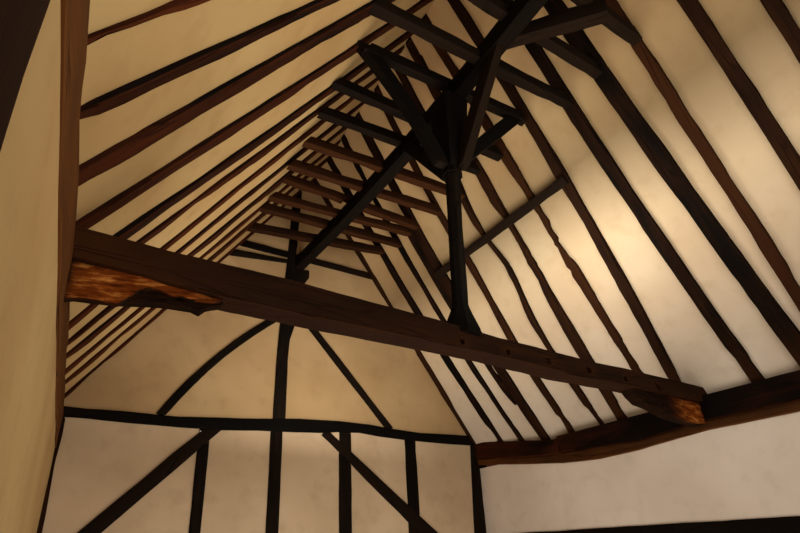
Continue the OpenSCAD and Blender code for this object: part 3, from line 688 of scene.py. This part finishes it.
collars = separate_timbers("collars_far_bay")
print("far collars from the middle truss to the gable:",
      [round(min(v.co.y for v in c.verts), 2) for c in collars])
lifts = [(-0.088, 0.012), (-0.005, -0.031), (0.026, 0.054), (-0.037, 0.038),
         (0.006, 0.036), (0.123, -0.048), (0.0, 0.0), (0.0, 0.0)]
double_collar = retilt(collars[5].copy(), lift=0.032, tilt=0.046, onward=0.17, thin=0.9)
tilted = [retilt(collar, *lift) for collar, lift in zip(collars, lifts)] + [double_collar]
collar_hewing = dict(arris=0.008, step=0.13, wave=0.008, knocks=0.016)
collars = carve_all(tilted, 51.0, collar_hewing)
settle(join_solids("carved_collars_far_bay", collars[3:]), dark_oak, "oak", "collars_far_bay")
settle(join_solids("sooty_collars_far_bay", collars[:3]), black_oak, "oak")
carve_node("doubling_rafter", dark_oak, 80.2, collar_hewing)
for i, node in enumerate(["collars_near_bay", "collar_strut", "side_purlin"]):
    carve_node(node, black_oak, 58.3 + 7.3 * i, collar_hewing)
truss_hewing = dict(arris=0.007, step=0.13, wave=0.004, knocks=0.008)
for i, node in enumerate(["collar_purlin", "crown_post", "near_crown_post", "near_braces"]):
    carve_node(node, black_oak, 83.0 + 5.7 * i, truss_hewing)

# %% [markdown]
# The braces of the open truss were cut from bent boughs, so each one has its own curve. They are
# made here as outlines: a centre line between two points with a bow, and a width at each end. The
# outline is cut off under the collar or the purlin and above the cap of the post, and given the
# thickness of a board.

# %% Outlines of bent timbers
bow_steps = 10


def bowed(first, last, widths, bow):
    """Outline of a bent timber from first to last; a bow above zero lifts the middle."""
    first, last = Vector(first), Vector(last)
    line = last - first
    up = Vector((-line.y, line.x)).normalized()
    up = up if up.y > 0 else -up
    above, below = [], []
    for i in range(bow_steps + 1):
        t = i / bow_steps
        spot = first + line * t + up * 4 * bow * t * (1 - t)
        broad = (widths[0] + (widths[1] - widths[0]) * t) / 2
        above.append(spot + up * broad)
        below.append(spot - up * broad)
    return above + below[::-1]


def cut_off(outline, point, normal):
    """The part of an outline behind a line through a point; the normal points to what goes."""
    point, normal = Vector(point), Vector(normal)
    kept = []
    for a, b in zip(outline, outline[1:] + outline[:1]):
        da, db = (a - point).dot(normal), (b - point).dot(normal)
        if da <= 0:
            kept.append(a)
        if (da < 0 < db) or (db < 0 < da):
            kept.append(a + (b - a) * (da / (da - db)))
    return kept


def board(outline, spot):
    """A closed solid from an outline: `spot` turns two numbers and a side into a point."""
    solid = bmesh.new()
    front = [solid.verts.new(spot(p.x, p.y, -1)) for p in outline]
    back = [solid.verts.new(spot(p.x, p.y, 1)) for p in outline]
    solid.faces.new(front)
    solid.faces.new(back[::-1])
    for i in range(len(outline)):
        j = (i + 1) % len(outline)
        solid.faces.new([front[j], front[i], back[i], back[j]])
    bmesh.ops.recalc_face_normals(solid, faces=solid.faces)
    return solid

print("points in the outline of a bent timber:", len(bowed((0, 0), (1, 1), (0.1, 0.1), 0.05)))

# %% [markdown]
# Three braces are made this way: the two that rise across the hall to the collar, and the far
# one of the two that rise along it to the purlin. The near one is its packed solid, carved as it
# is. Their feet run a little into the post, as a tenon does. Heights are measured from the top
# of the plate, and `lane` is the middle of the purlin.

# %% Bent braces
half_board = 0.042
lane = -0.081
cap_top = plate_top + 1.755
collar_under, collar_side = (0, plate_top + 2.846), (-0.072, 1.0)
purlin_under = (0, plate_top + 2.58)
left_bough = bowed((-0.224, plate_top + 1.72), (-1.075, plate_top + 2.80), (0.116, 0.128), 0.062)
right_bough = bowed((-0.119, plate_top + 1.81), (1.096, plate_top + 3.173), (0.120, 0.150), -0.008)
boughs = [cut_off(cut_off(bough, collar_under, collar_side), (0, cap_top), (0, -1))
          for bough in (left_bough, right_bough)]
bent = [board(bough, lambda x, z, side: (x, half_board * side, z)) for bough in boughs]
bent = [carve(brace, 99.0 + i, **truss_hewing) for i, brace in enumerate(bent)]
settle(join_solids("bent_cross_braces", bent), black_oak, "oak", "cross_braces")
far_bough = bowed((0.05, plate_top + 1.735), (0.70, plate_top + 2.65), (0.150, 0.124), 0.0)
far_bough = cut_off(cut_off(far_bough, purlin_under, (0, 1)), (0, cap_top), (0, -1))
far_board = board(far_bough, lambda y, z, side: (lane + half_board * side, y, z))
near_board = separate_timbers("purlin_braces")[0]
along_hall = [carve(near_board, 105.0, **truss_hewing), carve(far_board, 107.0, **truss_hewing)]
settle(join_solids("bent_purlin_braces", along_hall), black_oak, "oak", "purlin_braces")

# %% [markdown]
# The ties and plates are the heaviest timbers, with the roundest arrises. The middle tie is carved
# by itself, because its left end is painted lighter and redder than the rest, as a pool of lamp
# light: the mark for it grows there over half a metre.
# The left plate and the ledge under the right one are the brownest timbers of the frame: that
# lighter, browner oak is painted lamp light.

# %% Ties and plates
lit_end_from, lit_end_growth = -1.9, 2.0
ties = separate_timbers("tie_beam")
for solid in ties:
    carve(solid, 131.0, arris=0.014, step=0.10, wave=0.009, knocks=0.024)
    # Its left end is painted lighter and redder: painted lamp light.
    painted_end_light = solid.verts.layers.float.new("painted_end_light")
    for vert in solid.verts:
        vert[painted_end_light] = held(lit_end_growth * (lit_end_from - vert.co.x))
settle(join_solids("carved_tie_beam", ties), dark_oak, "oak", "tie_beam")
tie_hewing = dict(arris=0.014, step=0.12, wave=0.008, knocks=0.020)
carve_node("near_tie_beam", dark_oak, 135.9, tie_hewing)
for i, node in enumerate(["right_plate_far_length", "right_plate_near_length"]):
    carve_node(node, red_oak, 140.8 + 4.9 * i, tie_hewing)
plate_hewing = dict(arris=0.010, step=0.15, wave=0.006, knocks=0.012)
# The plates get the lightest oak: painted lamp light.
for i, node in enumerate(["left_wall_plate", "right_plate_ledge"]):
    carve_node(node, lamp_lit_oak, 171.0 + 3.1 * i, plate_hewing)

# %% [markdown]
# Two braces once rose from the wall posts to the tie. Both are broken off, and their stumps are
# still pegged under the tie. Where the wood tore it is orange and stringy, and the rest is as dark
# as the frame. `torn` marks those places: the face that looks down the hall, and on the right
# stump only its outer end. The torn face is cut into a fine net, and its points are pushed in
# along the strings by noise that is long across the face and short up and down.

# %% Broken braces
torn_oak = Finish("torn_oak", roughness=0.85, gloss=0.03)
torn_place = torn_oak.place()
strings = torn_oak.clouds(torn_oak.stretch(torn_place, 6.0, 60.0), 1.0, 5.0, 0.65)
hollows = torn_oak.clouds(torn_oak.stretch(torn_place, 5.0, 12.0), 1.6, 4.0, 0.6)
torn_colour = torn_oak.mix(torn_oak.ramp(strings * 0.6 + hollows * 0.5, 0.38, 0.60),
                           shade("341505"), shade("873f12"))
torn_colour = torn_oak.mix(torn_oak.ramp(strings * 0.5 + hollows * 0.6, 0.56, 0.72),
                           torn_colour, shade("c67f38"))
sound_colour = torn_oak.mix(torn_oak.ramp(strings, 0.35, 0.75), shade("0f0703"), shade("2f1a0b"))
torn_oak.dress(Base_Color=torn_oak.mix(torn_oak.mark("torn"), sound_colour, torn_colour),
               Normal=torn_oak.bump(strings * 0.010 + hollows * 0.006, 0.9))

stump_hewing = dict(arris=0.010, step=0.045, wave=0.006, knocks=0.014)
stump_layers = 9
skin_deep = 0.05
torn_deep, string_deep, hollow_deep = 0.012, 0.016, 0.014


def tear_stump(node, seed, first, full):
    """Carve a stump and tear its near face, from nothing at `first` to fully at `full` along x."""
    solids = separate_timbers(node)
    for solid in solids:
        carve(solid, seed, **stump_hewing)
        spans = [v.co.z for v in solid.verts]
        for i in range(1, stump_layers):
            cut = min(spans) + (max(spans) - min(spans)) * i / stump_layers
            slice_across(solid, Vector((0, 0, cut)), Vector((0, 0, 1)))
        split_wide_faces(solid)
        near_face = min(v.co.y for v in solid.verts)
        torn = solid.verts.layers.float.new("torn")
        for vert in solid.verts:
            reach = held((vert.co.x - first) / (full - first))
            facing = held(-2.0 * vert.normal.y - 0.3)
            vert[torn] = reach * facing * (1.0 if vert.co.y < near_face + skin_deep else 0.0)
            string = noise.noise(Vector((vert.co.x * 9.0, seed, vert.co.z * 42.0)))
            slow = noise.noise(Vector((vert.co.x * 6.0, seed, vert.co.z * 9.0)))
            vert.co.y += vert[torn] * (torn_deep + string_deep * string + hollow_deep * slow)
    settle(join_solids("torn_" + node, solids), torn_oak.material, "worn_oak", node)

tear_stump("left_brace_stub", 181.0, -2.86, -2.80)
tear_stump("right_brace_stub", 187.0, 2.35, 2.70)

# %% [markdown]
# The wall timbers are nearly straight. The left brace of the end wall runs on until it meets the
# mid rail, so the points of its lower end are slid along it. The end wall and what shows of the
# right wall are as black as the truss.

# %% Wall frame
end_braces = separate_timbers("end_wall_lower_braces")
rail_level = min(v.co.z for b in end_braces for v in b.verts)
brace_way = Vector((-1.11, 0.0, -1.16)).normalized()
lower_end = -2.2
for solid in end_braces:
    for vert in solid.verts:
        if vert.co.x < lower_end:
            vert.co += brace_way * ((rail_level - vert.co.z) / brace_way.z)
wall_hewing = dict(arris=0.009, step=0.17, wave=0.005, knocks=0.012)
settle(join_solids("carved_end_wall_lower_braces", carve_all(end_braces, 233.2, wall_hewing)),
       black_oak, "oak", "end_wall_lower_braces")
for i, node in enumerate(["end_tie_beam", "end_crown_post", "end_down_braces",
                          "gable_collar_and_rail", "end_wall_mid_rail", "end_wall_studs",
                          "right_corner_post", "right_wall_rail"]):
    carve_node(node, black_oak, 211.0 + 3.7 * i, wall_hewing)
for i, node in enumerate(["left_corner_post", "left_wall_timbers", "right_wall_timbers",
                          "left_wall_post", "left_sill", "right_sill", "end_sill"]):
    carve_node(node, dark_oak, 244.0 + 3.7 * i, wall_hewing)

# %% [markdown]
# The plaster was laid by hand between the timbers, so no panel is flat. Each panel is cut into a
# coarse net, a hand or two wide, and its points move by slow noise. The net is fine enough for
# the waves, and the bump in the finish does the rest. The edge of each panel is tucked a little
# way into the timbers round it, because carving drew their faces back by a few millimetres. A
# pointed corner is tucked deeper, so that both of its edges go in by as much. The open near end
# has no timber to tuck into.

# %% Uneven plaster
near_end = solid_low[1]
near_end_reach = 0.05
tuck_deep = 0.014
most_pointed = 0.35


def tuck_of(vert, broadest):
    """How a point on the edge of a panel moves into the timber beside it."""
    sides = [f.normal for f in vert.link_faces if abs(f.normal.dot(broadest)) < 0.5]
    tuck = sum(sides, Vector((0, 0, 0)))
    if tuck.length < 0.1 or vert.co.y < near_end + near_end_reach:
        return Vector((0, 0, 0))
    tuck.normalize()
    return tuck * (tuck_deep / max(most_pointed, min(tuck.dot(n) for n in sides)))


def uneven(node, finish, step, wave, seed, outward=None, drift=None):
    """Cut a node's panels into a net and wave it. Faces that look `outward` are limewashed."""
    solids = separate_timbers(node)
    for solid in solids:
        points = np.array([v.co[:] for v in solid.verts])
        low, high = points.min(axis=0), points.max(axis=0)
        for axis in range(3):
            count = int((high[axis] - low[axis]) / step)
            for i in range(1, count + 1):
                at, way = Vector((0, 0, 0)), Vector((0, 0, 0))
                at[axis] = low[axis] + (high[axis] - low[axis]) * i / (count + 1)
                way[axis] = 1
                slice_across(solid, at, way)
        split_wide_faces(solid)
        broadest = max(solid.faces, key=lambda f: f.calc_area()).normal.copy()
        place = solid.verts.layers.float_vector.new("place")
        outside = solid.verts.layers.float.new("outside")
        moves = []
        for vert in solid.verts:
            vert[place] = vert.co + Vector((seed, 0, 0))
            vert[outside] = 1.0 if outward and vert.normal.dot(Vector(outward)) > 0.4 else 0.0
            slow = noise.noise(vert.co * 1.6 + Vector((seed, 0, 0)))
            quick = noise.noise(vert.co * 5.0 + Vector((0, seed, 0)))
            moves.append(vert.normal * wave * (slow + 0.35 * quick) + tuck_of(vert, broadest))
        for vert, move in zip(solid.verts, moves):
            vert.co += move
            if drift:
                vert.co.y += drift(vert.co)
    settle(join_solids("laid_" + node, solids), finish, "plaster", node)

uneven("left_roof_plaster", left_plaster_painted_shading, 0.22, 0.008, 5.0)
uneven("right_roof_plaster", right_plaster_painted_shading, 0.16, 0.008, 9.0, drift=wander)
uneven("gable_plaster", gable_plaster_painted_shading, 0.25, 0.006, 13.0, (0, 1, 0))
uneven("end_wall_plaster", end_plaster_painted_shading, 0.25, 0.006, 17.0, (0, 1, 0))
uneven("left_wall_plaster", left_plaster_painted_shading, 0.30, 0.006, 21.0, (-1, 0, 0))
uneven("right_wall_plaster", side_plaster_painted_shading, 0.30, 0.008, 25.0, (1, 0, 0))

# %% [markdown]
# A plain clay tile is about 265 by 165 mm and 12 mm thick, with a slight camber. It hangs so that
# only the lowest 100 mm shows, and each course starts half a tile over. Some thousands of tiles
# are cheap as one mesh of plain arrays, and each tile keeps a `tone`. Under them lies a bed that
# stands for battens and the heads of the tiles. All of it fills the slab of the packed model,
# from the back of the rafters to the slab's outer face.

# %% The tiled slope
slab_low, slab_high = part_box("right_roof_covering")
rise = 1.433
run_to_slope = math.sqrt(1 + rise * rise)
ridge_x = slab_low[0]
outer_foot = Vector((slab_high[0], 0, slab_low[2]))
up_slope = Vector((-1, 0, rise)) / run_to_slope
outward = Vector((rise, 0, 1)) / run_to_slope
slope_length = (outer_foot.x - ridge_x) * run_to_slope
print("slope %.2f m long, %.2f m wide" % (slope_length, slab_high[1] - slab_low[1]))

# %% [markdown]
# A tile is a block with twelve corners: its camber gives it a middle line. Its corners are set
# by the distance up the slope, the distance down the hall and the depth under the outer face, and
# its place is the point itself.
# The eaves course is doubled by a row of shorter tiles, as a roofer would do it. Each tile lies
# a few millimetres out of line, and its head is two tiles deeper than its tail, since it lies
# under the courses above.

# %% Roof tiles
gauge, tile_long, eaves_tile_long, tile_thick, camber = 0.100, 0.265, 0.165, 0.012, 0.005
tiles_across = 45
half_joint = 0.0015
out_of_line = 0.004
tail_deep, tile_fall = 0.006, 0.024
bed_foot, bed_side, bed_deep, bed_thick, bed_tone = 0.03, 0.004, 0.043, 0.027, 0.1
bare_top = 0.06
tile_quads = [(0, 2, 8, 6), (2, 4, 10, 8), (1, 7, 9, 3), (3, 9, 11, 5), (0, 1, 3, 2),
              (2, 3, 5, 4), (6, 8, 9, 7), (8, 10, 11, 9), (0, 6, 7, 1), (4, 5, 11, 10)]


def lay_tiles(side, name, node, seed):
    rng = random.Random(seed)
    wide = (slab_high[1] - slab_low[1]) / tiles_across
    verts, faces, tones = [], [], []

    def block(foot, head, y0, y1, foot_deep, head_deep, thick, bow, tone):
        start = len(verts)
        for up, top in ((foot, foot_deep), (head, head_deep)):
            for y, belly in ((y0, 0.0), ((y0 + y1) / 2, bow), (y1, 0.0)):
                for deep in (top - belly, top - belly + thick):
                    spot = outer_foot + up_slope * up - outward * deep
                    verts.append((side * spot.x, spot.y + y, spot.z))
        tones.extend([tone] * 12)
        faces.extend([tuple(start + q for q in quad) for quad in tile_quads])

    block(bed_foot, slope_length, slab_low[1] + bed_side, slab_high[1] - bed_side, bed_deep,
          bed_deep, bed_thick, 0.0, bed_tone)
    for row in range(-1, int((slope_length - bare_top) / gauge)):
        foot = max(0.0, row * gauge)
        edges = [slab_low[1] + wide * i for i in range(tiles_across + 1)]
        if row % 2:
            edges = [edges[0]] + [e + wide / 2 for e in edges[1:-2]] + [edges[-1]]
        for y0, y1 in zip(edges[:-1], edges[1:]):
            slip = rng.uniform(-out_of_line, out_of_line) if row > 0 else 0.0
            top = tail_deep + rng.uniform(0.0, out_of_line)
            length = tile_long if row >= 0 else eaves_tile_long
            fall = tile_fall * length / tile_long
            block(foot + slip, min(foot + slip + length, slope_length), y0 + half_joint,
                  y1 - half_joint, top, top + fall, tile_thick, camber, rng.random())
    mesh = bpy.data.meshes.new(name)
    mesh.from_pydata(verts, [], faces)
    tone = mesh.attributes.new("tone", "FLOAT", "POINT")
    tone.data.foreach_set("value", tones)
    place = mesh.attributes.new("place", "FLOAT_VECTOR", "POINT")
    place.data.foreach_set("vector", np.array(verts, dtype=np.float32).ravel())
    shell = bmesh.new()
    shell.from_mesh(mesh)
    bmesh.ops.recalc_face_normals(shell, faces=shell.faces)
    shell.to_mesh(mesh)
    shell.free()
    settle(show(name, mesh), roof_clay, "tiles", node)

lay_tiles(1, "right_tiles", "right_roof_covering", 11)
lay_tiles(-1, "left_tiles", "left_roof_covering", 12)

# %% [markdown]
# The ridge is closed by half-round tiles in a line, each about 450 mm long, bedded in mortar. The
# packed solid is one long hog-backed bar. The tiles follow its outline, and each one is turned
# and lifted by a hair, with a gap for the mortar joint. A tile has a ring of points at each end:
# the outer half round, then the inner one.

# %% Ridge tiles
ridge_count = 17
round_steps = 12
first_degrees, arc_degrees = 22, 136
ridge_thick = 0.016
ridge_joint = 0.003
side_room = 0.012
skirt = 1.05


def ridge_row(name, node):
    rng = random.Random(5)
    low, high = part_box(node)
    length = (high[1] - low[1]) / ridge_count
    half = (high[0] - low[0]) / 2
    inner = round_steps + 1
    solids = []
    for i in range(ridge_count):
        tile = bmesh.new()
        drop = rng.uniform(0.002, 0.008)
        turn = rng.uniform(-0.006, 0.006)
        rings = []
        for y in (low[1] + i * length + ridge_joint, low[1] + (i + 1) * length - ridge_joint):
            ring = []
            for deep in (0.0, ridge_thick):
                for j in range(round_steps + 1):
                    angle = math.radians(first_degrees + arc_degrees * j / round_steps)
                    x = -math.cos(angle) * (half - side_room - deep) + turn
                    sink = (1 - math.sin(angle)) * (high[2] - low[2]) * skirt
                    ring.append(tile.verts.new((x, y, high[2] - drop - deep - sink)))
            rings.append(ring)
        a, b = rings
        for j in range(round_steps):
            k = inner + j
            tile.faces.new([a[j], a[j + 1], b[j + 1], b[j]])
            tile.faces.new([a[k], b[k], b[k + 1], a[k + 1]])
            tile.faces.new([a[j], a[k], a[k + 1], a[j + 1]])
            tile.faces.new([b[j], b[j + 1], b[k + 1], b[k]])
        tile.faces.new([a[0], b[0], b[inner], a[inner]])
        tile.faces.new([a[round_steps], a[-1], b[-1], b[round_steps]])
        bmesh.ops.recalc_face_normals(tile, faces=tile.faces)
        place = tile.verts.layers.float_vector.new("place")
        tone = tile.verts.layers.float.new("tone")
        own = rng.random()
        for vert in tile.verts:
            vert[place] = vert.co
            vert[tone] = own
        solids.append(tile)
    return join_solids(name, solids)

settle(ridge_row("ridge_row", "ridge_tiles"), roof_clay, "tiles", "ridge_tiles")

# %% [markdown] The building stands on a plain pale floor, which isn't part of it. To the
# camera the floor glows a little, so that its far edge meets the sky without a line, and that
# glow lights nothing.

# %% Floor
floor_reach = 40
pale = Finish("pale_floor", roughness=0.9, gloss=0.1)
glow = pale.mix(pale.seen(), (0, 0, 0, 1), (0.32, 0.32, 0.31, 1))
pale.dress(Base_Color=shade("dcdad6"), Emission_Color=glow, Emission_Strength=1.0)
ground = bpy.data.meshes.new("floor")
ground.from_pydata([(x * floor_reach, y * floor_reach, 0)
                    for x, y in ((-1, -1), (1, -1), (1, 1), (-1, 1))], [], [(0, 1, 2, 3)])
ground.materials.append(pale.material)
floor = show("floor", ground)
